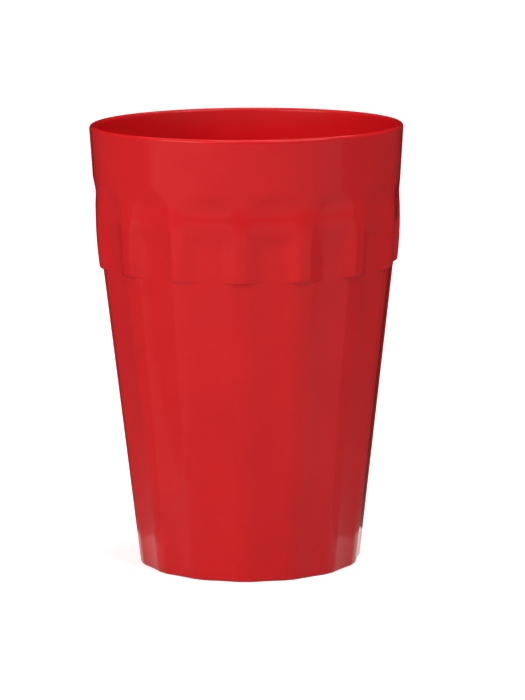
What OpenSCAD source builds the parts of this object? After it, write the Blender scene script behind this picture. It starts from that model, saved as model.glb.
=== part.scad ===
// Fluted stacking tumbler, moulded in one piece
// Sizes in millimetres. The foot stands on z = 0 and the axis is z.
// One ridge faces the front, which is -y.

/* [Overall] */
// Outside diameter of the rim
rim_diameter = 89; // [70:0.5:110]
// Height from the table to the top of the rim
height = 126; // [100:0.5:160]
// Diameter over the ridges at the foot
foot_diameter = 63.8; // [50:0.2:75]
// Number of flutes around the tumbler
flute_count = 15; // [8:1:24]
// Which part to draw

/* [Plain collar under the rim] */
// Height of the plain collar
collar_height = 19.5; // [8:0.5:25]
// How much the radius narrows from the rim to the foot of the collar
collar_taper = 1.1; // [0.2:0.1:3]

/* [Fluted band] */
// Depth of the shoulder below the rim
shoulder_depth = 39.8; // [32:0.2:60]
// How far the middle of the band swells out
band_swell = 0.5; // [0.1:0.05:1.2]
// How far the band's lower edge is tucked in from the foot of the collar
band_tuck = 0.5; // [0:0.05:1]
// Rounding of the band's lower edge
band_edge_radius = 0.8; // [0.3:0.1:1.2]
// How far the shoulder steps in to the body's ridges
shoulder_step = 1.2; // [0.6:0.1:2]
// Width of a ridge at the band's lower edge
band_ridge_width = 3.4; // [1.5:0.1:5]
// Slope of the sides of those ridges, from the flat between two of them
ridge_flank = 45; // [35:1:60]
// Depth of a flute at the foot of the collar
flute_depth = 0.95; // [0.7:0.05:1.3]
// How far the arches of the flutes reach above the foot of the collar
arch_reach = 4.2; // [1:0.1:6]
// Height of those arches
arch_height = 6; // [3:0.1:9]

/* [Tapered body] */
// Width of a ridge at the shoulder
body_ridge_width = 4.9; // [2:0.1:8]
// Width of a ridge at the foot
foot_ridge_width = 3.8; // [2:0.1:6]
// How hollow a flute is at the foot, from the flat between two ridges
flute_hollow = 0.16; // [0.05:0.01:0.5]
// Rounding of the edge of the foot
foot_edge_radius = 0.5; // [0.2:0.1:0.8]

/* [Wall, rim and floor] */
// Thickness of the rim
rim_thickness = 1.9; // [1.4:0.1:2.6]
// Wall behind the middle of a flute of the body, at the shoulder
shoulder_wall = 1.4; // [1.1:0.1:2.5]
// Wall behind the middle of a flute at the floor
floor_wall = 1.5; // [1.1:0.1:3]
// Thickness of the floor
floor_thickness = 2.2; // [1.5:0.1:5]
// Rounding inside, between the floor and the wall
floor_radius = 4; // [1:0.5:8]
// Depth of the hollow under the floor
foot_recess = 1; // [0.4:0.1:2]
// Slope of the side of that hollow, as its width over its depth
recess_draft = 0.6; // [0.1:0.1:1.5]
// Width of the ring that it stands on
foot_ring = 3; // [2:0.1:6]

/* [Hidden] */
$fn = 180;
arc_steps = 8;
band_steps = 8;
overlap = 2;

rim_r = rim_diameter / 2;
lip_r = rim_thickness / 2;
foot_r = foot_diameter / 2;
pitch = 360 / flute_count;

// Heights
shoulder_z = height - shoulder_depth;
collar_z = height - collar_height;
band_height = collar_z - shoulder_z;
inside_z = foot_recess + floor_thickness;

// Ridges
collar_r = rim_r - collar_taper;
band_low_r = collar_r - band_tuck;
shoulder_r = band_low_r - shoulder_step;

// Angle from the middle of a flute to the edge of the ridge beside it
function half_flute(edge_r, ridge) = pitch / 2 - asin(ridge / 2 / edge_r);

// Radius of a round cutter that meets both ridges and reaches floor_r
function cutter_radius(edge_r, floor_r, ridge) =
    let (a = half_flute(edge_r, ridge),
         drop = edge_r * cos(a) - floor_r,
         half = edge_r * sin(a))
    (drop * drop + half * half) / (2 * drop);

// How far in a cutter of radius r reaches when it meets both ridges
function cutter_floor(edge_r, r, ridge) =
    let (a = half_flute(edge_r, ridge))
    edge_r * cos(a) + sqrt(r * r - pow(edge_r * sin(a), 2)) - r;

// Flutes of the body
foot_flute_r = foot_r * cos(half_flute(foot_r, foot_ridge_width)) - flute_hollow;
body_cutter_r = cutter_radius(foot_r, foot_flute_r, foot_ridge_width);
shoulder_flute_r = cutter_floor(shoulder_r, body_cutter_r, body_ridge_width);
body_tilt = atan((shoulder_flute_r - foot_flute_r) / shoulder_z);

// Flutes of the band, which go on from those of the body
band_flute_r = collar_r - flute_depth;
band_tilt = atan((band_flute_r - shoulder_flute_r) / band_height);

// Arches, in which they run out of the collar
collar_slope = collar_taper / (collar_height - lip_r);
arch_z = collar_z + arch_reach;
arch_r = collar_r + collar_slope * arch_reach;
arch_slope = collar_slope + flute_depth / arch_height;

// Inside
inside_shoulder_r = shoulder_flute_r - shoulder_wall;
inside_floor_r = foot_flute_r - floor_wall;

// Ridge of the body at a height
function body_r(z) = foot_r + (shoulder_r - foot_r) * z / shoulder_z;

// Outline of the band, from 0 at the shoulder to 1 at the collar
function band_r(u) = band_low_r + band_tuck * u + band_swell * 4 * u * (1 - u);

// Points of an arc
function arc(x, z, r, from, to) =
    [for (i = [0 : arc_steps])
        let (a = from + (to - from) * i / arc_steps)
        [x + r * cos(a), z + r * sin(a)]];

module upper_profile() {
    edge_u = band_edge_radius / band_height;
    polygon(concat(
        [[0, shoulder_z]],
        arc(band_r(edge_u) - band_edge_radius, shoulder_z + band_edge_radius, band_edge_radius, -90, 0),
        [for (i = [1 : band_steps])
            let (u = edge_u + (1 - edge_u) * i / band_steps)
            [band_r(u), shoulder_z + band_height * u]],
        arc(rim_r - lip_r, height - lip_r, lip_r, 0, 90),
        [[0, height]]
    ));
}

module lower_profile() {
    top = shoulder_z + overlap;
    polygon(concat(
        [[0, 0]],
        arc(body_r(foot_edge_radius) - foot_edge_radius, foot_edge_radius, foot_edge_radius, -90, 0),
        [[body_r(top), top], [0, top]]
    ));
}

module inside_profile() {
    slope = (inside_shoulder_r - inside_floor_r) / (shoulder_z - inside_z);
    corner_r = inside_floor_r + slope * floor_radius - floor_radius;
    polygon(concat(
        [[0, inside_z]],
        arc(corner_r, inside_z + floor_radius, floor_radius, -90, 0),
        [[inside_shoulder_r, shoulder_z]],
        arc(rim_r - lip_r, height - lip_r, lip_r, 180, 90),
        [[rim_r - lip_r, height + overlap], [0, height + overlap]]
    ));
}

// Space between two planes that run down the ridges beside a flute
module wedge(floor_r, low, high, ridge) {
    side = pitch / 2 - asin(ridge / 6 / floor_r);
    far = 2 * rim_r;
    past = 2 * overlap;
    translate([0, 0, low - past])
        linear_extrude(height = high - low + 2 * past)
            polygon([[0, 0], far * [-sin(side), -cos(side)], far * [sin(side), -cos(side)]]);
}

// Round cutter whose near side leans out with the wall, from floor_r at z = low
module cutter(r, floor_r, low, high, tilt) {
    extra = 2 * overlap + r * tan(tilt);
    translate([0, -floor_r, low])
        rotate([tilt, 0, 0])
            translate([0, -r, -extra])
                cylinder(r = r, h = (high - low) / cos(tilt) + 2 * extra);
}

// Round cutter that leaves the wall at the top of an arch
module arch_cutter() {
    floor_r = arch_r - arch_slope * (arch_z - shoulder_z);
    cutter(body_cutter_r, floor_r, shoulder_z, height, atan(arch_slope));
}

// Space between the sloping sides of two ridges of the band
module between_ridges() {
    edge_r = band_low_r + band_tuck / 2;
    a = half_flute(edge_r, band_ridge_width);
    edge = edge_r * [sin(a), -cos(a)];
    apex = edge.y + edge.x * tan(ridge_flank);
    past = 2 * overlap;
    run = past / tan(ridge_flank);
    translate([0, 0, shoulder_z - past])
        linear_extrude(height = height - shoulder_z + 2 * past)
            polygon([[0, apex], edge + [run, -past], [-edge.x - run, edge.y - past]]);
}

module around() {
    for (i = [0 : flute_count - 1])
        rotate([0, 0, (i + 0.5) * pitch])
            children();
}

module upper_outside() {
    difference() {
        rotate_extrude() upper_profile();
        around()
            intersection() {
                cutter(body_cutter_r, shoulder_flute_r, shoulder_z, height, band_tilt);
                arch_cutter();
                between_ridges();
            }
    }
}

module lower_outside() {
    difference() {
        rotate_extrude() lower_profile();
        around()
            intersection() {
                cutter(body_cutter_r, foot_flute_r, 0, shoulder_z, body_tilt);
                wedge(foot_flute_r, 0, shoulder_z, foot_ridge_width);
            }
    }
}

module underside() {
    ring_in = foot_flute_r - foot_ring;
    translate([0, 0, -overlap])
        cylinder(
            r1 = ring_in + recess_draft * overlap,
            r2 = ring_in - recess_draft * foot_recess,
            h = foot_recess + overlap
        );
}

module tumbler() {
    color("firebrick")
        difference() {
            union() {
                upper_outside();
                lower_outside();
            }
            rotate_extrude() inside_profile();
            underside();
        }
}

tumbler();
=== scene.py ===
import math

import bpy
import numpy as np
from mathutils import Matrix, Vector


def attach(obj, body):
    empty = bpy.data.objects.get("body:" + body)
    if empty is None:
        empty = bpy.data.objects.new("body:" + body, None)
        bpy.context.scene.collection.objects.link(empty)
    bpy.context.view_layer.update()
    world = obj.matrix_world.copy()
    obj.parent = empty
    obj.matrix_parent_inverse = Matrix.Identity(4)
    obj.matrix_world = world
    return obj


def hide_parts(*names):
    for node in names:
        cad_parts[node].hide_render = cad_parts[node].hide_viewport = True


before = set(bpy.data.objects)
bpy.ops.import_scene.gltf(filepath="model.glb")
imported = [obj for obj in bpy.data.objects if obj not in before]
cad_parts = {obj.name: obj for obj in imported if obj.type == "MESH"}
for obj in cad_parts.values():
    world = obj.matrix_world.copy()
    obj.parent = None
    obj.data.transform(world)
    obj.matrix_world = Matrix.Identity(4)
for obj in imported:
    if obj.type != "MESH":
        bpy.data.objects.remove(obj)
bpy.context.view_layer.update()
print("frame loaded")

mm = 0.001


# one node with its settings, and the sockets that feed it
def addNode(tree, kind, settings=None, links=None):
    node = tree.nodes.new(kind)
    node.location = (220 * len(tree.nodes), 0)
    for key, value in (settings or {}).items():
        if isinstance(key, int) or key in node.inputs:
            node.inputs[key].default_value = value
        else:
            setattr(node, key, value)
    for key, source in (links or {}).items():
        tree.links.new(source, node.inputs[key])
    return node


def hexToLinear(text):
    values = [int(text[i:i + 2], 16) / 255 for i in (1, 3, 5)]
    return tuple(v / 12.92 if v <= 0.04045 else ((v + 0.055) / 1.055) ** 2.4 for v in values) + (1.0,)


def newMaterial(name):
    material = bpy.data.materials.new(name)
    material.use_nodes = True
    material.node_tree.nodes.clear()
    return material, material.node_tree


# the tumbler's shape, in millimetres; angles are taken from the middle of a flute
tumblerShape = {
    "height": 126.0,
    "rimDiameter": 89.0,
    "footDiameter": 63.8,
    "flutes": 15,
    "collarHeight": 19.5,
    "collarTaper": 1.1,
    "shoulderDepth": 39.8,
    "bandSwell": 0.5,
    "bandTuck": 0.5,
    "shoulderStep": 1.2,
    "shoulderEdge": 0.75,       # rounding of the band's lower edge
    "shoulderFillet": 0.5,      # fillet where the step meets the body
    "shoulderTall": 1.6,        # both are this much taller than wide
    "shoulderApart": 0.04,      # gap kept between the rows of the shoulder in the flutes
    "filletShare": 0.35,        # most of the step that the fillet and the rounding may take
    "edgeShare": 0.6,
    "bandRidge": 3.2,
    "ridgeFlank": 28,           # slope of the sides of the band's ridges, in degrees
    "fluteDepth": 0.95,         # at the foot of the collar
    "archTop": 110.8,
    "archHeight": 7.0,
    "bodyRidge": 4.9,
    "footRidge": 3.8,
    "hollow": 0.16,
    "archSoftness": 0.1,
    "flankSoftness": 0.7,
    "bandSoftness": 0.35,       # how much of a ridge's edges is rounded away
    "bodySoftness": 0.18,
    "collarSoftness": 0.3,
    "footEdge": 0.8,
    "rimThickness": 1.9,
    "shoulderWall": 1.4,
    "floorWall": 1.5,
    "floorTop": 3.2,
    "floorRadius": 4.0,
    "footRing": 3.0,
    "recessDepth": 1.0,
    "recessDraft": 0.6,
    "recessEdge": 0.35,
    "gateRadius": 1.6,          # the small mark left where the plastic went in
    "gateHeight": 0.15,
    "columnsPerFlute": 36,
    "ridgeCrowding": 0.45,      # how much closer the columns stand along the ridges
}


def smoothMin(a, b, softness):
    blend = np.clip(0.5 + 0.5 * (b - a) / softness, 0, 1)
    return b * (1 - blend) + a * blend - softness * blend * (1 - blend)


def smoothMax(a, b, softness):
    return -smoothMin(-a, -b, softness)


def halfFlute(edge, ridge, halfPitch):
    return halfPitch - math.asin(ridge / 2 / edge)


def tumblerRows(s):
    halfPitch = math.pi / s["flutes"]
    rim = s["rimDiameter"] / 2
    foot = s["footDiameter"] / 2
    lip = s["rimThickness"] / 2
    collar = rim - s["collarTaper"]
    bandLow = collar - s["bandTuck"]
    shoulder = bandLow - s["shoulderStep"]
    shoulderZ = s["height"] - s["shoulderDepth"]
    collarZ = s["height"] - s["collarHeight"]
    lipZ = s["height"] - lip
    bandHeight = collarZ - shoulderZ

    # body flutes: a round cutter through both ridges at the foot, leaning out with the wall
    half = halfFlute(foot, s["footRidge"], halfPitch)
    footFloor = foot * math.cos(half) - s["hollow"]
    bodyCutter = (s["hollow"] ** 2 + (foot * math.sin(half)) ** 2) / (2 * s["hollow"])
    half = halfFlute(shoulder, s["bodyRidge"], halfPitch)
    shoulderFloor = shoulder * math.cos(half) - bodyCutter + math.sqrt(
        bodyCutter ** 2 - (shoulder * math.sin(half)) ** 2)

    # columns, crowded towards the ridges
    count = s["columnsPerFlute"]
    step = np.arange(count) * 2 / count - 1
    inFlute = halfPitch * (step + s["ridgeCrowding"] * np.sin(math.pi * step) / math.pi)
    angle = np.tile(inFlute, s["flutes"])
    theta = angle + np.repeat((np.arange(s["flutes"]) + 0.5) * 2 * halfPitch, count)

    def cut(floor, cutter):
        centre = floor + cutter
        return centre * np.cos(angle) - np.sqrt(cutter ** 2 - (centre * np.sin(angle)) ** 2)

    def bodyRadius(z):
        ridge = foot + (shoulder - foot) * z / shoulderZ
        floor = footFloor + (shoulderFloor - footFloor) * z / shoulderZ
        return smoothMin(ridge, cut(floor, bodyCutter), s["bodySoftness"])

    # band flutes go on from those of the body, between the sloping sides of the ridges, and swing
    # out of the wall in an arch
    def bandFlute(z, ridge):
        rise = (z - shoulderZ) / bandHeight
        straight = shoulderFloor + (collar - s["fluteDepth"] - shoulderFloor) * rise
        swing = 1 + (z - s["archTop"]) / s["archHeight"]
        arch = ridge - s["fluteDepth"] * (1 - swing * np.abs(swing))
        floor = cut(smoothMax(straight, arch, s["archSoftness"]), bodyCutter)
        edge = halfPitch - np.arcsin(s["bandRidge"] / 2 / ridge)
        side = ridge - (edge - np.abs(angle)) * ridge * math.tan(math.radians(s["ridgeFlank"]))
        return smoothMax(floor, side, s["flankSoftness"])

    def bandRadius(z):
        u = (z - shoulderZ) / bandHeight
        swell = bandLow + s["bandTuck"] * u + s["bandSwell"] * 4 * u * (1 - u)
        plain = collar + s["collarTaper"] * (z - collarZ) / (lipZ - collarZ)
        ridge = smoothMax(swell, plain, s["collarSoftness"])
        return smoothMin(ridge, bandFlute(z, ridge), s["bandSoftness"])

    rows = []

    def addRow(radius, z):
        rows.append((np.broadcast_to(radius, theta.shape) * 1.0, np.broadcast_to(z, theta.shape) * 1.0))

    # underside, from the gate mark out to the ring that it stands on
    gate, top = s["gateRadius"], s["recessDepth"]
    for share, rise in ((0.3, 1), (0.75, 0.9), (0.95, 0.5), (1.05, 0.1), (1.3, 0)):
        addRow(gate * share, top - s["gateHeight"] * rise)
    ringIn = footFloor - s["footRing"]
    cornerIn = ringIn - s["recessDraft"] * top
    edge = s["recessEdge"]
    for radius in (8.0, 18.0, cornerIn - 1.5):
        addRow(radius, top)
    for turn in np.linspace(0, 1, 6):
        swing = turn * math.pi / 3
        addRow(cornerIn - edge * (1 - math.sin(swing)), top - edge * (1 - math.cos(swing)))
    for turn in np.linspace(1, 0, 6):
        swing = turn * math.pi / 3
        addRow(ringIn + edge * (1 - math.sin(swing)), edge * (1 - math.cos(swing)))
    footRow = bodyRadius(s["footEdge"])
    addRow(footRow - s["footEdge"] - 0.6, 0)
    for swing in np.linspace(0, math.pi / 2, 8)[:-1]:
        addRow(footRow - s["footEdge"] * (1 - math.sin(swing)), s["footEdge"] * (1 - math.cos(swing)))

    # body
    lowRows = np.linspace(s["footEdge"], 3, 4)
    highRows = np.linspace(6, shoulderZ - 2, 18)
    for z in np.concatenate([lowRows, highRows, [shoulderZ - 1.3]]):
        addRow(bodyRadius(z), z)

    # shoulder: fillet, flat and rounded edge at the ridges, all fading out in the flutes
    room = np.maximum(bandRadius(shoulderZ) - bodyRadius(shoulderZ), 0)
    fillet = np.minimum(s["shoulderFillet"], room * s["filletShare"])
    edge = np.minimum(s["shoulderEdge"], room * s["edgeShare"])
    apart, tall = s["shoulderApart"], s["shoulderTall"]
    under = bodyRadius(shoulderZ)
    addRow(bodyRadius(shoulderZ - 0.9), shoulderZ - 0.9)
    for swing in np.linspace(0, math.pi / 2, 5):
        drop = (fillet * tall + apart) * (1 - math.sin(swing))
        addRow(under + fillet * (1 - math.cos(swing)), shoulderZ - apart - drop)
    bandEdge = bandRadius(shoulderZ + edge * tall)
    for swing in np.linspace(0, math.pi / 2, 8):
        lift = (edge * tall + apart) * (1 - math.cos(swing))
        addRow(bandEdge - edge * (1 - math.sin(swing)), shoulderZ + apart + lift)

    # band, collar and lip
    bandRows = np.linspace(shoulderZ + 1.9, collarZ + 6, 42)
    collarRows = np.linspace(collarZ + 7.5, lipZ - 0.6, 7)
    for z in np.concatenate([[shoulderZ + 1.5], bandRows, collarRows]):
        addRow(bandRadius(z), z)
    for swing in np.linspace(0, math.pi, 17):
        addRow(rim - lip + lip * math.cos(swing), lipZ + lip * math.sin(swing))

    # inside wall, floor corner and floor
    wallTop = rim - 2 * lip
    wallMiddle = shoulderFloor - s["shoulderWall"]
    wallLow = footFloor - s["floorWall"]
    lowLean = (wallMiddle - wallLow) / (shoulderZ - s["floorTop"])
    highLean = (wallTop - wallMiddle) / (lipZ - shoulderZ)
    cornerTop = s["floorTop"] + s["floorRadius"]
    upperRows = np.linspace(lipZ - 0.6, shoulderZ + 4, 12)
    bendRows = np.linspace(shoulderZ + 2.5, shoulderZ - 2.5, 5)
    lowerRows = np.linspace(shoulderZ - 6, cornerTop + 1, 10)
    for z in np.concatenate([upperRows, bendRows, lowerRows]):
        high = wallTop - highLean * (lipZ - z)
        low = wallLow + lowLean * (z - s["floorTop"])
        addRow(float(smoothMin(np.array(high), np.array(low), 0.15)), z)
    corner = wallLow + lowLean * s["floorRadius"] - s["floorRadius"]
    for swing in np.linspace(0, math.pi / 2, 9):
        addRow(corner + s["floorRadius"] * math.cos(swing), cornerTop - s["floorRadius"] * math.sin(swing))
    for share in (0.66, 0.33, 0.04):
        addRow(corner * share, s["floorTop"])
    return theta, rows


def buildTumbler(s, name):
    theta, rows = tumblerRows(s)
    columns = len(theta)
    points = [np.column_stack([r * np.sin(theta), -r * np.cos(theta), z]) for r, z in rows]
    bottom = [0, 0, rows[0][1][0]]
    top = [0, 0, rows[-1][1][0]]
    points = np.concatenate(points + [np.array([bottom, top])]) * mm

    this = np.arange(columns)
    following = (this + 1) % columns
    faces = []
    for row in range(len(rows) - 1):
        low, high = row * columns, (row + 1) * columns
        faces.append(np.column_stack([low + this, low + following, high + following, high + this]))
    quads = np.concatenate(faces).tolist()
    last = (len(rows) - 1) * columns
    capLow, capHigh = len(points) - 2, len(points) - 1
    caps = [(capLow, b, a) for a, b in zip(this.tolist(), following.tolist())]
    caps += [(capHigh, last + a, last + b) for a, b in zip(this.tolist(), following.tolist())]

    mesh = bpy.data.meshes.new(name)
    mesh.from_pydata(points.tolist(), [], quads + caps)
    mesh.update()
    mesh.shade_smooth()
    piece = bpy.data.objects.new(name, mesh)
    bpy.context.collection.objects.link(piece)
    weighted = piece.modifiers.new("even shading", "WEIGHTED_NORMAL")
    weighted.keep_sharp = True
    print(name, "rows", len(rows), "faces", len(mesh.polygons))
    return piece


# SAN plastic, injection-moulded in polished steel: colour solid right through, a wet gloss with soft
# edges to its reflections, and a faint waviness where thicker plastic shrank as it cooled
sanPlastic = {
    "colour": "#CA1619",
    "deepColour": "#C31319",
    "ior": 1.57,
    "specularLevel": 0.1,
    "roughness": (0.10, 0.17),
    "cloudSize": 24 * mm,       # slow drift of the colour and the gloss
    "waveSize": 5 * mm,         # sink marks
    "waveHeight": 0.006 * mm,
    "grainSize": 0.9 * mm,      # coarser than the real haze, so that it shows
    "grainHeight": 0.0006 * mm,
}


def makeSan(s):
    material, tree = newMaterial("SAN plastic, injection-moulded, polished")
    place = addNode(tree, "ShaderNodeTexCoord").outputs["Object"]
    cloud = addNode(tree, "ShaderNodeTexNoise", {
        "Scale": 1 / s["cloudSize"], "Detail": 3.0, "Roughness": 0.55}, {"Vector": place})
    grain = addNode(tree, "ShaderNodeTexNoise", {
        "Scale": 1 / s["grainSize"], "Detail": 2.0}, {"Vector": place})
    waves = addNode(tree, "ShaderNodeTexNoise", {
        "Scale": 1 / s["waveSize"], "Detail": 1.0}, {"Vector": place})
    drift = addNode(tree, "ShaderNodeMapRange", {
        "From Min": 0.35, "From Max": 0.65}, {"Value": cloud.outputs[0]})
    colour = addNode(tree, "ShaderNodeMix", {
        "data_type": "RGBA", 6: hexToLinear(s["colour"]), 7: hexToLinear(s["deepColour"])},
        {0: drift.outputs["Result"]})
    gloss = addNode(tree, "ShaderNodeMapRange", {
        "To Min": s["roughness"][0], "To Max": s["roughness"][1]}, {"Value": grain.outputs[0]})
    sink = addNode(tree, "ShaderNodeBump", {
        "Strength": 1.0, "Distance": s["waveHeight"]}, {"Height": waves.outputs[0]})
    haze = addNode(tree, "ShaderNodeBump", {"Strength": 1.0, "Distance": s["grainHeight"]},
                   {"Height": grain.outputs[0], "Normal": sink.outputs["Normal"]})
    surface = addNode(tree, "ShaderNodeBsdfPrincipled", {
        "IOR": s["ior"], "Specular IOR Level": s["specularLevel"], "Metallic": 0.0}, {
        "Base Color": colour.outputs[2], "Roughness": gloss.outputs["Result"],
        "Normal": haze.outputs["Normal"]})
    addNode(tree, "ShaderNodeOutputMaterial", links={"Surface": surface.outputs["BSDF"]})
    return material


tumbler = buildTumbler(tumblerShape, "fluted_tumbler")
tumbler.data.materials.append(makeSan(sanPlastic))
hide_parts("tumbler")
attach(tumbler, "root")
print("tumbler built")

# floor and world: pale, and white wherever the camera or a reflection sees them
surroundings = {
    "floorRadius": 8.0,
    "floorColour": "#D9D9D9",
    "floorGlow": 0.62,          # brings the lit floor up to white for the camera, more so further off
    "glowFrom": 0.1,
    "glowTo": 0.7,
    "fill": 0.0,                # light from the surroundings themselves: none
}


def seenDirectly(tree):
    path = addNode(tree, "ShaderNodeLightPath")
    direct = addNode(tree, "ShaderNodeMath", {"operation": "MAXIMUM"},
                     {0: path.outputs["Is Camera Ray"], 1: path.outputs["Is Glossy Ray"]})
    return addNode(tree, "ShaderNodeMath", {"operation": "MAXIMUM"},
                   {0: direct.outputs[0], 1: path.outputs["Is Transmission Ray"]}).outputs[0]


def makeFloor(s):
    material, tree = newMaterial("studio paper, pale, matt")
    seen = seenDirectly(tree)
    paper = addNode(tree, "ShaderNodeBsdfDiffuse", {"Color": hexToLinear(s["floorColour"])})
    place = addNode(tree, "ShaderNodeTexCoord").outputs["Object"]
    reach = addNode(tree, "ShaderNodeVectorMath", {"operation": "LENGTH"}, {0: place}).outputs["Value"]
    glow = addNode(tree, "ShaderNodeMapRange", {
        "From Min": s["glowFrom"], "From Max": s["glowTo"],
        "To Min": s["floorGlow"], "To Max": 1.0}, {"Value": reach})
    strength = addNode(tree, "ShaderNodeMath", {"operation": "MULTIPLY"}, {
        0: seen, 1: glow.outputs["Result"]})
    white = addNode(tree, "ShaderNodeEmission", links={"Strength": strength.outputs[0]})
    both = addNode(tree, "ShaderNodeAddShader", links={0: paper.outputs[0], 1: white.outputs[0]})
    addNode(tree, "ShaderNodeOutputMaterial", links={"Surface": both.outputs[0]})
    mesh = bpy.data.meshes.new("floor")
    corners = 64
    turns = [i * 2 * math.pi / corners for i in range(corners)]
    ring = [(s["floorRadius"] * math.cos(turn), s["floorRadius"] * math.sin(turn), 0) for turn in turns]
    mesh.from_pydata(ring, [], [tuple(range(corners))])
    floor = bpy.data.objects.new("floor", mesh)
    floor.data.materials.append(material)
    bpy.context.collection.objects.link(floor)


def makeWorld(s):
    world = bpy.data.worlds.new("studio")
    world.use_nodes = True
    tree = world.node_tree
    tree.nodes.clear()
    soft = addNode(tree, "ShaderNodeBackground", {"Strength": s["fill"]})
    white = addNode(tree, "ShaderNodeBackground", {"Strength": 1.0})
    for node in (soft, white):
        node.inputs["Color"].default_value = (1, 1, 1, 1)
    mix = addNode(tree, "ShaderNodeMixShader", links={
        0: seenDirectly(tree), 1: soft.outputs[0], 2: white.outputs[0]})
    addNode(tree, "ShaderNodeOutputWorld", links={"Surface": mix.outputs[0]})
    bpy.context.scene.world = world


# grey cards round the back and on the floor, darker towards the middle of the back, that glow and are seen
# only in reflections: a painted reflection, in which the gloss darkens towards the outline, where it would
# turn white
paintedReflectionCards = {
    "radius": 0.32,
    "height": 0.45,
    "inner": 0.05,              # the card on the floor starts this far from the axis
    "lift": 0.4 * mm,
    "span": (70, 290),          # azimuths from the camera
    "brightness": 0.56,
    "falloff": 1.5,
}


def makePaintedReflectionCards(s, cameraAzimuth):
    material, tree = newMaterial("grey card, matt, shading to black")
    # the glow strength, painted per point by azimuth from the camera, makes the painted reflection darker
    # towards the back
    shade = addNode(tree, "ShaderNodeAttribute", {"attribute_name": "shade"})
    card = addNode(tree, "ShaderNodeEmission", links={"Strength": shade.outputs["Fac"]})
    addNode(tree, "ShaderNodeOutputMaterial", links={"Surface": card.outputs[0]})
    turns = np.radians(np.linspace(*s["span"], 111))
    rings = ((s["inner"], s["lift"]), (s["radius"], s["lift"]), (s["radius"], s["height"]))
    points = [(r * math.sin(t), -r * math.cos(t), z) for r, z in rings for t in turns]
    count = len(turns)
    quads = [(k * count + i, k * count + i + 1, (k + 1) * count + i + 1, (k + 1) * count + i)
             for k in range(2) for i in range(count - 1)]
    mesh = bpy.data.meshes.new("reflectionCards")
    mesh.from_pydata(points, [], quads)
    shades = s["brightness"] * (1 + np.cos(turns)) ** s["falloff"]
    mesh.attributes.new("shade", "FLOAT", "POINT").data.foreach_set("value", np.tile(shades, 3))
    reflectionCards = bpy.data.objects.new("reflectionCards", mesh)
    reflectionCards.rotation_euler = (0, 0, math.radians(cameraAzimuth))
    reflectionCards.data.materials.append(material)
    bpy.context.collection.objects.link(reflectionCards)
    # the cards show only to glossy rays, so they exist only as a painted reflection in the gloss
    for ray in ("camera", "diffuse", "transmission", "shadow"):
        setattr(reflectionCards, "visible_" + ray, False)


makeFloor(surroundings)
makeWorld(surroundings)

# the camera, and the lights placed round it: azimuth from the camera, positive to its right
cameraView = {
    "azimuth": 2.3,
    "pitch": 9.95,
    "roll": 0.372,
    "distance": 946.3 * mm,
    "aimHeight": 60.65 * mm,
    "aside": 4.17 * mm,         # the tumbler stands a little left of the middle
    "lens": 169.7,
    "sensor": 36.0,
}

lamps = {
    "left": {"azimuth": -50, "elevation": 28, "distance": 1.0, "size": (0.6, 0.6), "power": 6.1},
    "front": {"azimuth": -25, "elevation": 28, "distance": 1.0, "size": (0.6, 0.6), "power": 1.7},
    "right": {"azimuth": 50, "elevation": 52, "distance": 1.0, "size": (0.6, 0.6), "power": 5.8},
    "top": {"azimuth": 0, "elevation": 88, "distance": 1.0, "size": (0.45, 0.45), "power": 3.7},
    "behind": {"azimuth": 135, "elevation": 50, "distance": 1.0, "size": (0.45, 0.45), "power": 1.2},
}


def placeCamera(s):
    turn, down, roll = (math.radians(s[k]) for k in ("azimuth", "pitch", "roll"))
    ahead = Vector((-math.sin(turn) * math.cos(down), math.cos(turn) * math.cos(down), -math.sin(down)))
    right = Vector((math.cos(turn), math.sin(turn), 0))
    up = right.cross(ahead)
    spot = Vector((0, 0, s["aimHeight"])) - s["distance"] * ahead + s["aside"] * right
    rolledRight = right * math.cos(roll) - up * math.sin(roll)
    rolledUp = right * math.sin(roll) + up * math.cos(roll)
    data = bpy.data.cameras.new("camera")
    data.sensor_fit = "VERTICAL"
    data.sensor_height = s["sensor"]
    data.lens = s["lens"]
    data.clip_start, data.clip_end = 0.05, 50
    camera = bpy.data.objects.new("camera", data)
    turned = Matrix((rolledRight, rolledUp, -ahead)).transposed().to_4x4()
    camera.matrix_world = Matrix.Translation(spot) @ turned
    bpy.context.collection.objects.link(camera)
    bpy.context.scene.camera = camera


def placeLamp(name, s, cameraAzimuth):
    data = bpy.data.lights.new(name, "AREA")
    data.shape = "RECTANGLE"
    data.size, data.size_y = s["size"]
    data.energy = s["power"]
    lamp = bpy.data.objects.new(name, data)
    turn, lift = math.radians(s["azimuth"] + cameraAzimuth), math.radians(s["elevation"])
    towards = Vector((math.sin(turn) * math.cos(lift), -math.cos(turn) * math.cos(lift), math.sin(lift)))
    lamp.location = Vector((0, 0, 0.07)) + towards * s["distance"]
    lamp.rotation_euler = towards.to_track_quat("Z", "Y").to_euler()
    lamp.visible_camera = False
    bpy.context.collection.objects.link(lamp)


makePaintedReflectionCards(paintedReflectionCards, cameraView["azimuth"])
placeCamera(cameraView)
for lampName, lampSettings in lamps.items():
    placeLamp(lampName, lampSettings, cameraView["azimuth"])
bpy.context.scene.view_settings.view_transform = "Standard"
print("camera and lights placed")
